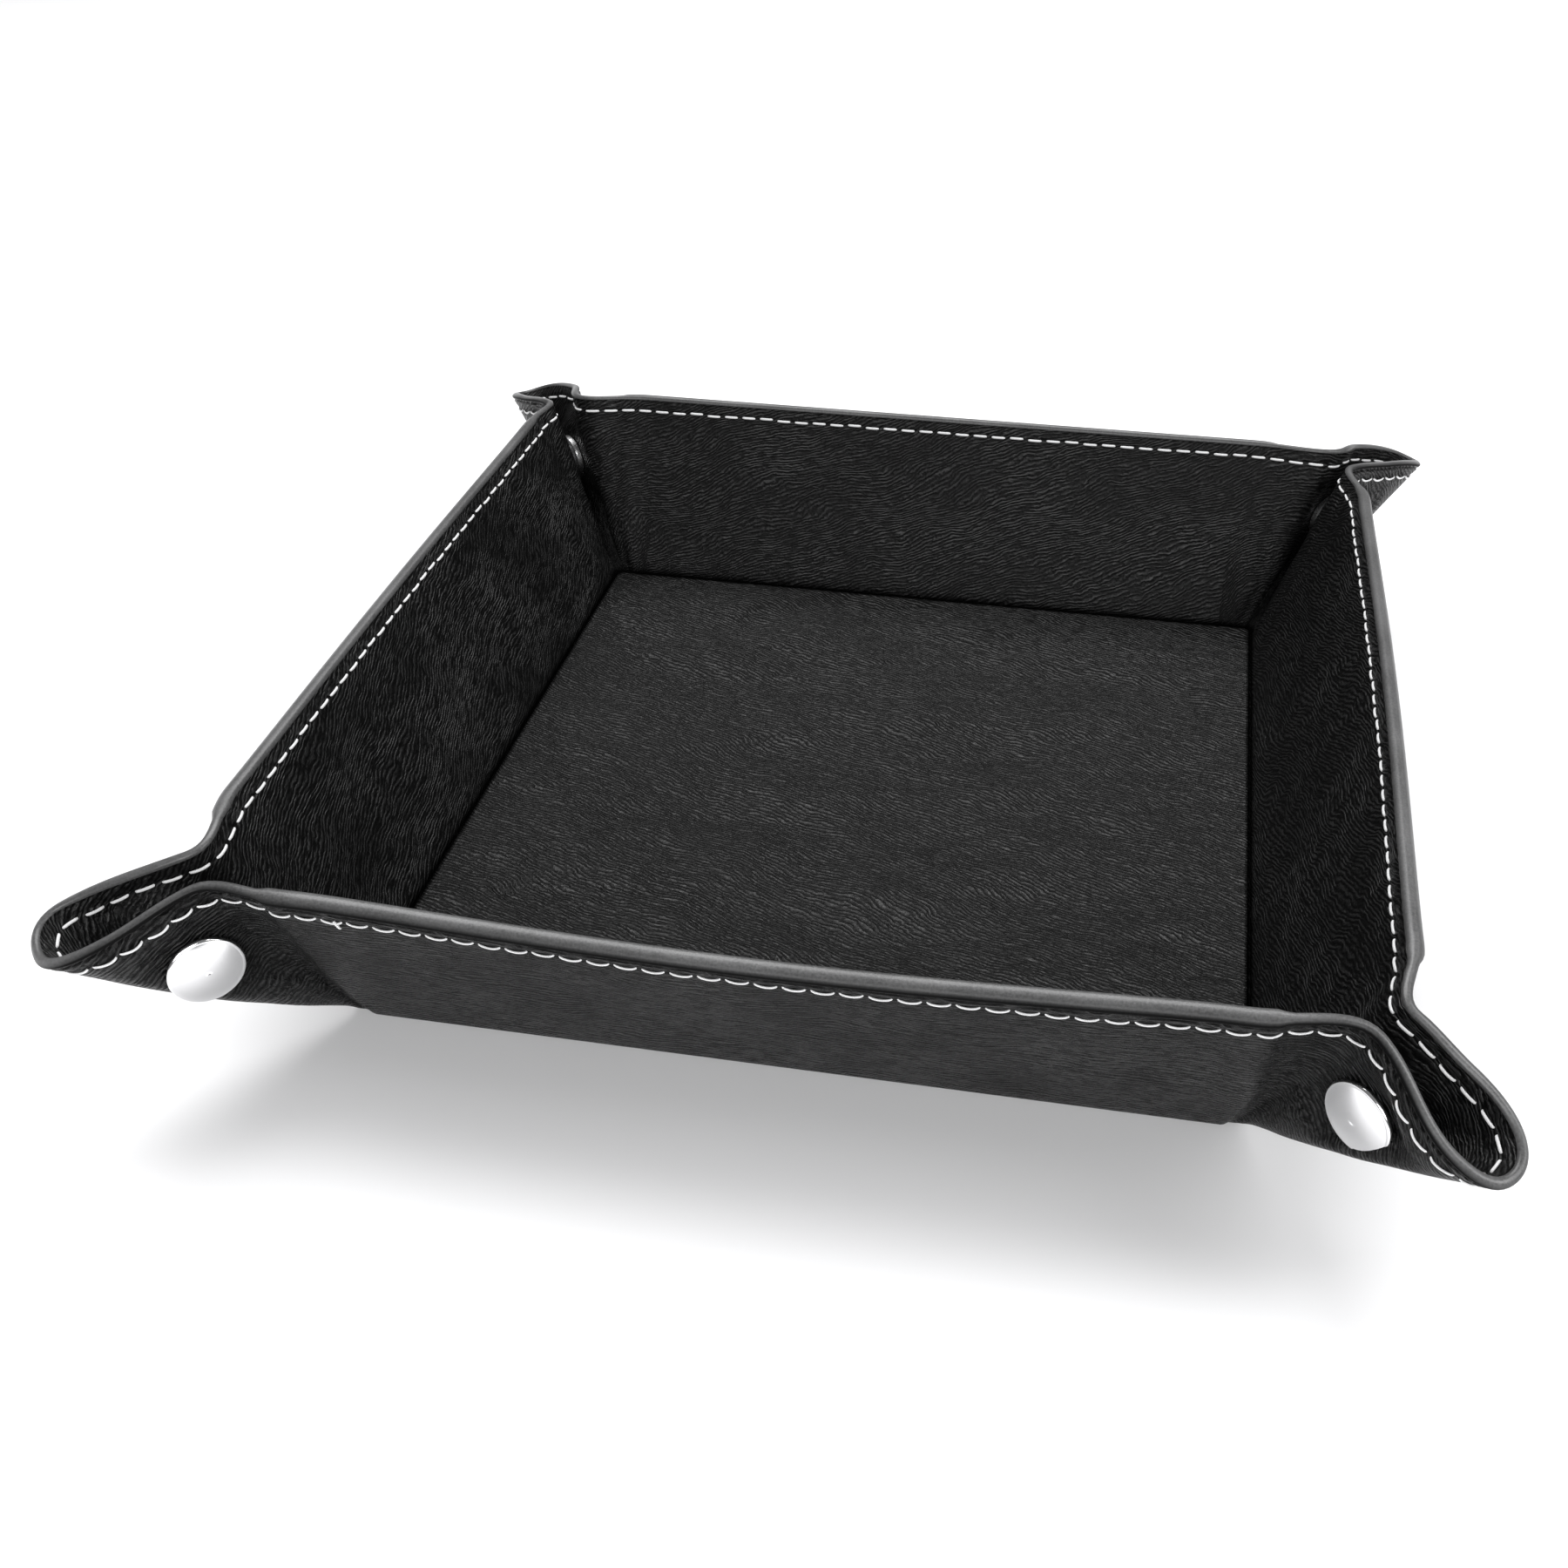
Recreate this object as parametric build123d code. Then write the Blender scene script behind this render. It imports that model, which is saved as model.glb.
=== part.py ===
from build123d import *
from math import acos, cos, degrees, radians, sin, sqrt
import os

# Folding dice tray: a square board base and four leather-covered wall panels
# that flare outward. At each corner the leather between two walls is pinched
# into a fold of two halves, held by a snap fastener. Undone, it lies flat.
# Frame: origin under the centre of the base, +X right, +Y back, +Z up, in mm.

# ---- driving dimensions ----
base_side = 156.0          # crease to crease
wall_height = 43.0         # along the slant, crease to rim
flare = 24.0               # wall's lean outward from upright, degrees
leather = 0.83             # one layer of leather
board = 1.2                # stiff board between the layers
corner_radius = 8.0        # rounded corner of the flat sheet
crease_gap = 1.1           # from a crease line to the panel beside it
board_half = 76.5          # half length of a wall's board
panel_half = 76.8          # half length of a wall panel where it meets the base
board_step = 1.4           # run of the inner leather down off the board's end
fold_gap = 0.6             # from a corner fold's hinge line to the leather beside it
diagonal_gap = 0.5         # from the corner's diagonal to the edge of each half
fold_start = 18.0          # where a corner half begins, measured along p + q
snap_gap = 3.5             # space between the two halves where the snap sits
snap_p = 15.4              # snap centre from the base corner, along the wall
snap_q = 26.8              # snap centre from the crease, up the wall
seam_inset = 3.2           # stitching's distance from the rim
thread_wide = 0.6
thread_thick = 0.22

# ---- snap fastener ----
cap_radius = 6.25
cap_height = 2.1
barrel_radius = 1.6
socket_radius = 5.5
socket_height = 2.9
cavity_radius = 3.5
mouth_radius = 2.2
stud_flange_radius = 5.0
stud_head_radius = 1.9
stud_neck_radius = 1.65
stud_height = 2.6
post_radius = 1.15
post_flange_radius = 4.4
spring_wire = 0.25         # wire radius
spring_leg = 1.95          # from the snap's axis to each leg
hole_play = 0.05           # between a barrel and the hole it goes through

# ---- worked out from them ----
half = base_side / 2
panel_thick = 2 * leather + board
corner_thick = 2 * leather
crease_z = panel_thick / 2                    # height of the fold axis
lean = sin(radians(flare))
fold_angle = 90 - flare
corner_angle = degrees(acos(cos(radians(flare)) / sqrt(2)))
half_offset = snap_gap / 2 + leather          # corner half's mid-plane to the diagonal
hinge_inset = half_offset * sqrt(2) - (crease_z - leather) * cos(radians(flare))
rim = half + wall_height


def hinge_x(q, shift=0.0):
    """X of a corner's hinge line, q up the wall, moved sideways by shift."""
    return half - hinge_inset + q * lean + shift * sqrt(1 + lean**2)


def plate(outline, bottom, thickness):
    """Flat plate on an outline of (x, q) points below the front crease."""
    points = [(x, -half - q) for x, q in outline]
    face = make_face(Polyline(points, close=True).edges())
    return extrude(Pos(0, 0, bottom) * face, thickness)


def panel_outline():
    """Front wall's leather: straight up off the base, then out to the hinge lines."""
    edge_q = (panel_half - hinge_x(0, -fold_gap)) / lean
    right = [
        (panel_half, crease_gap),
        (panel_half, edge_q),
        (hinge_x(wall_height, -fold_gap), wall_height),
    ]
    left = [(-x, q) for x, q in reversed(right)]
    return right + left


def wall_board():
    outline = [
        (-board_half, crease_gap),
        (board_half, crease_gap),
        (board_half, wall_height),
        (-board_half, wall_height),
    ]
    return plate(outline, leather, board)


def wall_outer_leather():
    return plate(panel_outline(), 0, leather)


def wall_inner_leather():
    """Leather over the board, stepping down to the outer layer past its ends."""
    reach = rim
    top = [
        (board_half, leather + board),
        (board_half + board_step, leather),
        (reach, leather),
        (reach, 2 * leather),
        (board_half + board_step, 2 * leather),
        (board_half, panel_thick),
    ]
    section = top + [(-x, z) for x, z in reversed(top)]
    face = make_face(Polyline(section, close=True).edges())
    strip = extrude(Plane.XZ * face, 2 * rim, both=True)
    return strip & plate(panel_outline(), 0, panel_thick)


def wall_thread():
    """Rows of stitching along the rim, on both faces."""
    row_q = wall_height - seam_inset
    wing_start = board_half + board_step
    wing_end = hinge_x(row_q, -fold_gap - thread_wide)
    rows = [
        Pos(0, -half - row_q, panel_thick + thread_thick / 2)
        * Box(2 * board_half, thread_wide, thread_thick),
        Pos(0, -half - row_q, -thread_thick / 2)
        * Box(2 * wing_end, thread_wide, thread_thick),
    ]
    for side in (-1, 1):
        middle = side * (wing_start + wing_end) / 2
        rows.append(
            Pos(middle, -half - row_q, 2 * leather + thread_thick / 2)
            * Box(wing_end - wing_start, thread_wide, thread_thick)
        )
    return rows


def corner_sheet(inset, thickness, bottom):
    """Square of leather with one rounded corner, its rim drawn in by inset."""
    edge = rim - inset
    radius = corner_radius - inset
    points = [(0, -edge), (edge - radius, -edge)]
    far = [(edge, -edge + radius), (edge, 0), (0, 0)]
    outline = Polyline(*points) + CenterArc(
        (edge - radius, -edge + radius), radius, -90, 90
    ) + Polyline(*far, points[0])
    face = make_face(outline.edges())
    return extrude(Pos(0, 0, bottom) * face, thickness)


def corner_half(thickness, bottom, inset=0.0, side_trim=0.0):
    """Right-hand corner half of the front wall, flat: hinge line to diagonal."""
    diagonal = (diagonal_gap + side_trim) * sqrt(2)
    hinge_shift = fold_gap + side_trim
    low_hinge = (fold_start + half - hinge_x(0, hinge_shift)) / (1 + lean)
    low_edge = (fold_start + diagonal) / 2
    top = wall_height + 1
    outline = [
        (hinge_x(low_hinge, hinge_shift), low_hinge),
        (half + low_edge - diagonal, low_edge),
        (half + top - diagonal, top),
        (hinge_x(top, hinge_shift), top),
    ]
    return plate(outline, bottom, thickness) & corner_sheet(inset, thickness, bottom)


def snap_hole(radius):
    hole = Cylinder(radius, 4 * corner_thick)
    return Pos(half + snap_p, -half - snap_q, leather) * hole


def corner_leather(layer, hole_radius):
    """One leather layer of a corner half; layer 0 is the outer one."""
    return corner_half(leather, layer * leather) - snap_hole(hole_radius)


def corner_thread():
    """Rows of stitching round a corner half's rim, on both faces."""
    rows = []
    for bottom in (corner_thick, -thread_thick):
        wide = corner_half(thread_thick, bottom, seam_inset - thread_wide / 2, thread_wide)
        narrow = corner_sheet(seam_inset + thread_wide / 2, thread_thick, bottom)
        rows.append(wide - narrow)
    return rows


# ---- snap fastener, built on the Z axis; the outer leather's face is z = 0 ----
def turned(*edges):
    """Solid of revolution about Z from a closed profile of (r, z) edges."""
    outline = edges[0]
    for edge in edges[1:]:
        outline = outline + edge
    return revolve(make_face((Plane.XZ * outline).edges()), Axis.Z)


def snap_cap():
    """Hollow domed cap with the barrel that goes through both layers."""
    flare_z = corner_thick + 0.4
    wall = 0.4
    shell = Polyline(
        (5.9, 0), (barrel_radius, 0), (barrel_radius, flare_z), (2.4, flare_z),
        (2.4, flare_z + 0.25), (1.1, flare_z + 0.25), (1.1, -wall), (5.2, -wall),
        (5.2, -0.75),
    )
    inside = TangentArc((0, wall - cap_height), (5.2, -0.75), tangent=(1, 0))
    crown = Line((0, wall - cap_height), (0, -cap_height))
    dome = TangentArc((0, -cap_height), (5.6, -1.1), tangent=(1, 0))
    rolled_edge = ThreePointArc((5.6, -1.1), (cap_radius, -0.5), (5.9, 0))
    return turned(shell, inside, crown, dome, rolled_edge)


def snap_socket():
    """Socket whose cavity holds the spring; its base sits on the inner layer."""
    hole = barrel_radius + hole_play
    profile = Polyline(
        (hole, 0), (5.3, 0), (socket_radius, 0.2), (socket_radius, 1.3), (5.2, 1.6),
        (4.5, 1.6), (4.2, 1.9), (4.0, 2.6), (3.6, socket_height),
        (mouth_radius, socket_height), (mouth_radius, socket_height - 0.4),
        (cavity_radius, socket_height - 0.4), (cavity_radius, 0.4), (hole, 0.4),
        close=True,
    )
    return Pos(0, 0, corner_thick) * turned(profile)


def snap_spring():
    """Hairpin of round wire whose legs grip the stud's neck."""
    bend_y = 1.0
    leg_end = -2.5
    wire_z = corner_thick + socket_height - 0.4 - spring_wire - 0.03
    first = Line((-spring_leg, leg_end), (-spring_leg, bend_y))
    bend = ThreePointArc(
        (-spring_leg, bend_y), (0, bend_y + spring_leg), (spring_leg, bend_y)
    )
    last = Line((spring_leg, bend_y), (spring_leg, leg_end))
    section = Plane(origin=(-spring_leg, leg_end, 0), z_dir=(0, 1, 0)) * Circle(spring_wire)
    wire = sweep(section, path=Wire((first + bend + last).edges()))
    return Pos(0, 0, wire_z) * wire


def snap_stud():
    """Stud with a hollow neck, standing on the inner layer."""
    bore = post_radius + hole_play
    profile = Polyline(
        (bore, 0), (4.9, 0), (stud_flange_radius, 0.1), (stud_flange_radius, 0.3),
        (4.9, 0.4), (stud_neck_radius, 0.4), (stud_neck_radius, 1.6),
        (stud_head_radius, 1.9), (stud_head_radius, 2.2), (1.55, 2.48),
        (1.1, stud_height), (0, stud_height), (0, 2.05), (bore, 2.05), close=True,
    )
    return Pos(0, 0, corner_thick) * turned(profile)


def snap_post():
    """Eyelet on the outer layer whose tube goes up inside the stud."""
    tube_end = corner_thick + 1.8
    profile = Polyline(
        (0.8, -0.35), (1.6, -0.55), (3.9, -0.55), (post_flange_radius, -0.3),
        (post_flange_radius, 0), (post_radius, 0), (post_radius, tube_end),
        (0.8, tube_end), close=True,
    )
    return turned(profile)


# ---- placing ----
base_crease = Axis((0, -half, crease_z), (1, 0, 0))
corner_crease = Axis((hinge_x(0), -half, leather), (lean, -1, 0))


def raise_wall(shape):
    """Turn a flat front-wall piece up to its slanted, snapped place."""
    return shape.rotate(base_crease, -fold_angle)


def pinch_corner(shape):
    """Bend a flat right-hand corner piece back, then raise it with its wall."""
    return raise_wall(shape.rotate(corner_crease, -corner_angle))


def save(name, solids, quarter=0, mirrored=False):
    """Write a node: front-wall solids mirrored if wanted, then turned to their wall."""
    placed = []
    for solid in solids:
        if mirrored:
            solid = mirror(solid, Plane.YZ)
        placed.append(solid.rotate(Axis.Z, 90 * quarter))
    node = placed[0] if len(placed) == 1 else Compound(children=placed)
    export_step(node, f"parts/{name}.step")


def base_plate(half_size, bottom, thickness):
    return [Pos(0, 0, bottom + thickness / 2) * Box(2 * half_size, 2 * half_size, thickness)]


os.makedirs("parts", exist_ok=True)

edge_of_base = half - crease_gap
save("base_outer_leather", base_plate(edge_of_base, 0, leather))
save("base_board", base_plate(edge_of_base - 0.3, leather, board))
save("base_inner_leather", base_plate(edge_of_base, leather + board, leather))

# Each wall is a quarter turn on from the one before. Its right-hand and
# left-hand corners, seen from outside, are the first and second of its ends.
walls = [
    ("front", ("right", "left")),
    ("right", ("back", "front")),
    ("back", ("left", "right")),
    ("left", ("front", "back")),
]

board_piece = raise_wall(wall_board())
outer_piece = raise_wall(wall_outer_leather())
inner_piece = raise_wall(wall_inner_leather())
thread_pieces = [raise_wall(row) for row in wall_thread()]
corner_thread_pieces = [pinch_corner(row) for row in corner_thread()]
snap_place = Pos(half + snap_p, -half - snap_q, 0)

for quarter, (wall, ends) in enumerate(walls):
    save(f"{wall}_wall_board", [board_piece], quarter)
    save(f"{wall}_wall_outer_leather", [outer_piece], quarter)
    save(f"{wall}_wall_inner_leather", [inner_piece], quarter)
    save(f"{wall}_wall_thread", thread_pieces, quarter)
    has_socket = wall in ("front", "back")
    hole = (barrel_radius if has_socket else post_radius) + hole_play
    outer_half = pinch_corner(corner_leather(0, hole))
    inner_half = pinch_corner(corner_leather(1, hole))
    for mirrored, end in enumerate(ends):
        piece = f"{wall}_wall_{end}_fold"
        save(f"{piece}_outer_leather", [outer_half], quarter, mirrored)
        save(f"{piece}_inner_leather", [inner_half], quarter, mirrored)
        save(f"{piece}_thread", corner_thread_pieces, quarter, mirrored)
        if has_socket:
            snap = f"{wall}_{end}_snap"
            socket = [pinch_corner(snap_place * part) for part in (snap_socket(), snap_spring())]
            save(f"{snap}_cap", [pinch_corner(snap_place * snap_cap())], quarter, mirrored)
            save(f"{snap}_socket", socket, quarter, mirrored)
        else:
            snap = f"{end}_{wall}_snap"
            save(f"{snap}_stud", [pinch_corner(snap_place * snap_stud())], quarter, mirrored)
            save(f"{snap}_post", [pinch_corner(snap_place * snap_post())], quarter, mirrored)
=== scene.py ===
from math import cos, pi, radians, sin, sqrt

import bpy
import numpy as np
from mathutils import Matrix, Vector


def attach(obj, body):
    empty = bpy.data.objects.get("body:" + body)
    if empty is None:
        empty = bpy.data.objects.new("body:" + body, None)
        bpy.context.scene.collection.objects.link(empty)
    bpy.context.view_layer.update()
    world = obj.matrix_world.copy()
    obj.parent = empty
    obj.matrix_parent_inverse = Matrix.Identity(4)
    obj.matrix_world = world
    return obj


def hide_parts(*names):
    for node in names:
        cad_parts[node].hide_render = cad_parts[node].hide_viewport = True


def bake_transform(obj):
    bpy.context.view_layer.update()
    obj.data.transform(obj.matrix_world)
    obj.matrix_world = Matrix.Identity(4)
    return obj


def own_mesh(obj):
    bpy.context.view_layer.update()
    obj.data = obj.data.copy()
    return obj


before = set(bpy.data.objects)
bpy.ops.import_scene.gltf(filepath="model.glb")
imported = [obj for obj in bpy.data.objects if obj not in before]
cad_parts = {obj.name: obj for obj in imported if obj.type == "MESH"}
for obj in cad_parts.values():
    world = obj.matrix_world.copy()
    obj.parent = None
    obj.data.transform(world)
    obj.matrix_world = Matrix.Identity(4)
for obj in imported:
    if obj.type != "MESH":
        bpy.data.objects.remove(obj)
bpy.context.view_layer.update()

# ---- sizes, in mm; meshes are turned to metres as they are made ----
HALF = 78.0           # middle of the tray to a crease
HEIGHT = 43.0         # crease to rim along a wall
CREASE_Z = 1.43
BOARDED = 1.43        # half thickness with the board inside
SOFT = 0.83           # half thickness of leather alone
LEATHER = 0.8
BEND = 1.1            # reach of a crease's bend to each side
CORNER_ROUND = 2.6    # rounding of the base's corners
START = -8.2          # where a corner half begins, along its wall from the base corner
SEAM = 3.0            # stitching's distance from the rim
SNAP_U, SNAP_Z = 21.09, 22.91     # a snap's centre, out along the diagonal and up
SNAP_N = 2.58         # a corner half's middle, off the diagonal
WALL_COLUMNS = 105
STITCH = 4.29         # about the length of one stitch
TAIL_X = -66.5        # where the thread's cut end hangs on the front rim
ROOT2 = sqrt(2)

LEAN = {"front": 23.0, "right": 25.8, "back": 24.6, "left": 22.5}
BOW = {"front": 1.9, "right": 1.05, "back": 0.1, "left": 1.1}
# each corner: the sag of its folded edge, the signs of its x and y, the tip (u out along the
# diagonal, n across it, z), and for the half on each wall: the start of the bend, the pinch
# (u, n) and the widest part of the loop (u, n)
CORNERS = [
    dict(name="front_right", sag=1.0, sign=(1, -1), tip=(45.2, -3.81, 32.76),
         y=("front", -5.39, 20.89, 3.64, 39.35, 8.65), x=("right", -4.44, 20.64, 4.75, 31.25, 4.2)),
    dict(name="back_right", sag=0.6, sign=(1, 1), tip=(46.69, 0.72, 30.92),
         y=("back", -5.55, 23.88, 2.3, 30.55, 3.89), x=("right", -5.65, 19.6, 4.6, 32.64, 4.31)),
    dict(name="back_left", sag=0.6, sign=(-1, 1), tip=(44.64, -1.67, 31.46),
         y=("back", -6.63, 20.3, 3.97, 31.12, 8.2), x=("left", 0.73, 18.9, 4.0, 32.72, 4.6)),
    dict(name="front_left", sag=1.9, sign=(-1, -1), tip=(42.6, 0.6, 33.6),
         y=("front", -3.55, 19.91, 4.62, 33.66, 5.6), x=("left", -7.9, 17.6, 4.2, 36.33, 8.6)),
]


def smooth(a, b, x):
    t = np.clip((np.asarray(x, float) - a) / (b - a), 0, 1)
    return t * t * (3 - 2 * t)


def bezier(points, n):
    t = np.linspace(0, 1, n)[:, None]
    a, b, c, d = [np.array(p, float) for p in points]
    return (1 - t) ** 3 * a + 3 * (1 - t) ** 2 * t * b + 3 * (1 - t) * t * t * c + t**3 * d


def unit(v):
    v = np.asarray(v, float)
    return v / np.maximum(np.linalg.norm(v, axis=-1, keepdims=True), 1e-12)


def rim_curve(lean, start, pinch_u, pinch_n, loop_u, loop_n, tip):
    """Rim of one corner half in (u, n, z), from the wall to the tip."""
    b = radians(lean)
    rz, ry = HEIGHT * cos(b), HEIGHT * sin(b)
    u, n, z = tip
    first = np.array([(START + ry) / ROOT2, (START - ry) / ROOT2, rz])
    p0 = np.array([(start + ry) / ROOT2, (start - ry) / ROOT2, rz])
    p1 = np.array([pinch_u, -pinch_n, rz - 0.2])
    fall = ((loop_u - pinch_u) / (u - pinch_u)) ** 1.3
    p2 = np.array([loop_u, -loop_n, rz + (z - rz) * fall])
    p3 = np.array([u, n, z])
    along = np.array([1 / ROOT2, 1 / ROOT2, 0])
    m1 = unit(p2 - p1)
    t1 = unit(m1 + np.array([1, 0, 0]))
    t2 = unit([1, 0, (z - p2[2]) / max(u - loop_u, 1) * 0.6])
    l01, l12 = np.linalg.norm(p1 - p0), np.linalg.norm(p2 - p1)
    wide = n + loop_n
    parts = [
        bezier([first, first + (p0 - first) / 3, first + (p0 - first) * 2 / 3, p0], 8),
        bezier([p0, p0 + along * l01 * 0.4, p1 - t1 * l01 * 0.3, p1], 30)[1:],
        bezier([p1, p1 + t1 * l12 * 0.35, p2 - t2 * l12 * 0.35, p2], 30)[1:],
        bezier([p2, p2 + t2 * (u - loop_u) * 0.75, p3 - np.array([0, 1, 0]) * wide * 0.55, p3], 40)[1:],
    ]
    curve = np.vstack(parts)
    pinch_index = 8 + 29 - 1
    length = np.concatenate([[0], np.cumsum(np.linalg.norm(np.diff(curve, axis=0), axis=1))])
    return curve, length, length[pinch_index], length[7]


# rows up a wall: through the crease's bend, up the wall, then at set distances below the rim
BEND_ROWS = np.linspace(-1, 1, 9)
LOWER_ROWS = np.linspace(0, 1, 19)[1:]
RIM_ROWS = np.array([4.4, 3.9, 3.55, 3.25, 3.0, 2.75, 2.45, 2.15, 1.85,
                     1.6, 1.35, 1.12, 0.95, 0.8, 0.65, 0.45, 0.2, 0.0])
ROWS = len(BEND_ROWS) + len(LOWER_ROWS) + len(RIM_ROWS)
SEAM_ROW = len(BEND_ROWS) + len(LOWER_ROWS) + 4


def column(foot, outward, top, slope):
    """Middle surface's points from the base across the crease and up to the rim."""
    d = top - foot
    length = np.linalg.norm(d)
    d = d / length
    t = (BEND_ROWS[:, None] + 1) / 2
    a, c = foot - outward * BEND, foot + d * BEND
    bend = (1 - t) ** 2 * a + 2 * (1 - t) * t * foot + t * t * c
    rim_q = length - RIM_ROWS / slope
    low_q = BEND + (rim_q[0] - 0.5 - BEND) * LOWER_ROWS
    q = np.concatenate([low_q, rim_q])
    return np.vstack([bend, foot + q[:, None] * d]), np.concatenate([BEND_ROWS * BEND, q])


def corner_half(corner, side):
    """Columns of one corner half in its own frame: x along the wall, y outward, z up."""
    wall, start, pu, pn, lu, ln = corner[side]
    u, n, z = corner["tip"]
    tip = (u, n if side == "y" else -n, z)
    curve, length, pinch, bend_start = rim_curve(LEAN[wall], start, pu, pn, lu, ln, tip)
    cuts = [
        np.linspace(0, bend_start, 5)[:-1],
        np.linspace(bend_start, pinch, 16)[:-1],
        np.linspace(pinch, length[-1], 40),
    ]
    at = np.concatenate(cuts)
    rim = np.stack([np.interp(at, length, curve[:, k]) for k in range(3)], 1)
    rim = np.stack([(rim[:, 0] + rim[:, 1]) / ROOT2, (rim[:, 0] - rim[:, 1]) / ROOT2, rim[:, 2]], 1)
    r = CORNER_ROUND
    along = smooth(0, pinch, at) * 0.6 + 0.4 * at / pinch
    foot_x = np.where(at < pinch, START + (-r - START) * np.minimum(along, 1), -r)
    turn = np.where(at < pinch, 0, smooth(pinch, length[-1], at) * pi / 4)
    foot = np.stack([foot_x + r * np.sin(turn), -r + r * np.cos(turn), 0 * at], 1)
    outward = np.stack([np.sin(turn), np.cos(turn), 0 * at], 1)
    tangent = unit(np.gradient(rim, axis=0))
    tangent[-1] = [1 / ROOT2, -1 / ROOT2, 0]
    cols, qs = [], []
    for i in range(len(at)):
        d = unit(rim[i] - foot[i])
        slope = max(np.linalg.norm(np.cross(tangent[i], d)), 0.6)
        p, q = column(foot[i], outward[i], rim[i], slope)
        cols.append(p)
        qs.append(q)
    P, Q = np.array(cols), np.array(qs)
    # pressed to the snap's plane round the snap
    across, out = (P[..., 0] - P[..., 1]) / ROOT2, (P[..., 0] + P[..., 1]) / ROOT2
    near = 1 - smooth(6.8, 13.5, np.hypot(out - SNAP_U, P[..., 2] - SNAP_Z))
    share = (at - pinch) / (length[-1] - pinch)
    near *= (smooth(pinch - 3.0, pinch + 1.5, at) * (1 - smooth(0.66, 0.9, share)))[:, None]
    press = (-SNAP_N - across) * near
    P[..., 0] += press / ROOT2
    P[..., 1] -= press / ROOT2
    # the folded edge sags a little between the base and the tip
    rise = np.clip(Q / Q[:, -1:], 0, 1)
    sag = corner["sag"] * smooth(0.45, 1.0, share)[:, None] * np.sin(pi * rise) ** 1.2
    P[..., 0] += 0.45 * sag
    P[..., 1] += 0.45 * sag
    P[..., 2] -= 0.75 * sag
    x = P[..., 0]
    thin = np.maximum(smooth(-2.2, 0.5, x), smooth(pinch * 0.55, pinch * 0.8, at)[:, None])
    return dict(P=P, Q=Q, at=at, pinch=pinch, bend=bend_start, thin=thin)


def to_world(P, sign, side):
    x, y, z = P[..., 0], P[..., 1], P[..., 2]
    if side == "x":
        x, y = y, x
    return np.stack([sign[0] * (HALF + x), sign[1] * (HALF + y), CREASE_Z + z], -1)


# ---- the ring of columns: front wall, its right corner, right wall and so on round ----
blocks = []     # (kind, name, first column, last column)
P_all, Q_all, thin_all = [], [], []
walls = ["front", "right", "back", "left"]


def add_columns(kind, name, P, Q, thin):
    first = sum(len(p) for p in P_all)
    P_all.append(P)
    Q_all.append(Q)
    thin_all.append(thin)
    blocks.append((kind, name, first, first + len(P) - 1))


halves = {}
for k, wall in enumerate(walls):
    b = radians(LEAN[wall])
    xs = np.linspace(-(HALF + START), HALF + START, WALL_COLUMNS + 2)[1:-1]
    cols, qs = [], []
    for x in xs:
        foot, top = np.array([x, 0, 0.0]), np.array([x, HEIGHT * sin(b), HEIGHT * cos(b)])
        p, q = column(foot, np.array([0, 1.0, 0]), top, 1.0)
        rise = np.clip(q / HEIGHT, 0, 1)[:, None]
        push = BOW[wall] * (1 - (x / (HALF + START)) ** 2) ** 1.5 * rise**1.6
        p = p + push * np.array([0, cos(b), -sin(b)])
        cols.append(p)
        qs.append(q)
    P = np.array(cols)
    W = np.stack([P[..., 0], -HALF - P[..., 1], CREASE_Z + P[..., 2]], -1)
    for _ in range(k):
        W = np.stack([-W[..., 1], W[..., 0], W[..., 2]], -1)
    add_columns("wall", wall, W, np.array(qs), np.zeros((len(xs), ROWS)))
    corner = CORNERS[k]
    order = ("y", "x") if k % 2 == 0 else ("x", "y")
    for j, side in enumerate(order):
        half = corner_half(corner, side)
        W = to_world(half["P"], corner["sign"], side)
        name = (corner["name"], corner[side][0])
        Q, thin = half["Q"], half["thin"]
        if j:
            W, Q, thin = W[::-1][1:], Q[::-1][1:], thin[::-1][1:]
        half.update(corner=corner, side=side)
        halves[name] = half
        add_columns("half", name, W, Q, thin)

P = np.concatenate(P_all)
Q = np.concatenate(Q_all)
thin = np.concatenate(thin_all)
C = len(P)


def ring_gradient(A):
    return np.roll(A, -1, axis=0) - np.roll(A, 1, axis=0)


def ring_normals(A):
    """Unit normals pointing out of the tray."""
    return unit(np.cross(ring_gradient(A), np.gradient(A, axis=1)))


N_in = -ring_normals(P)
for _ in range(2):
    N_in = unit(N_in + 0.5 * (np.roll(N_in, 1, 0) + np.roll(N_in, -1, 0)))
around = np.concatenate([[0], np.cumsum(np.linalg.norm(np.diff(P[:, -1], axis=0), axis=1))])
ring_length = around[-1] + np.linalg.norm(P[0, -1] - P[-1, -1])

# low, broad unevenness of the leather
rng = np.random.default_rng(7)


def uneven(u, v, waves, size):
    total = 0
    for _ in range(waves):
        a, b, ph = rng.uniform(0.15, 0.6), rng.uniform(0.15, 0.7), rng.uniform(0, 2 * pi)
        total = total + np.sin(a * u + b * v + ph) * rng.uniform(0.4, 1)
    return size * total / waves


body_rows = np.clip((Q - 2) / 4, 0, 1) * np.clip((Q[:, -1:] - Q) / 3.0, 0, 1)
body_rows = body_rows * np.clip(np.minimum(around, ring_length - around) / 9, 0, 1)[:, None]
A2 = np.repeat(around[:, None], ROWS, 1)
rough_out = uneven(A2, Q, 9, 0.16) * body_rows
rough_in = uneven(A2, Q, 9, 0.16) * body_rows

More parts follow.
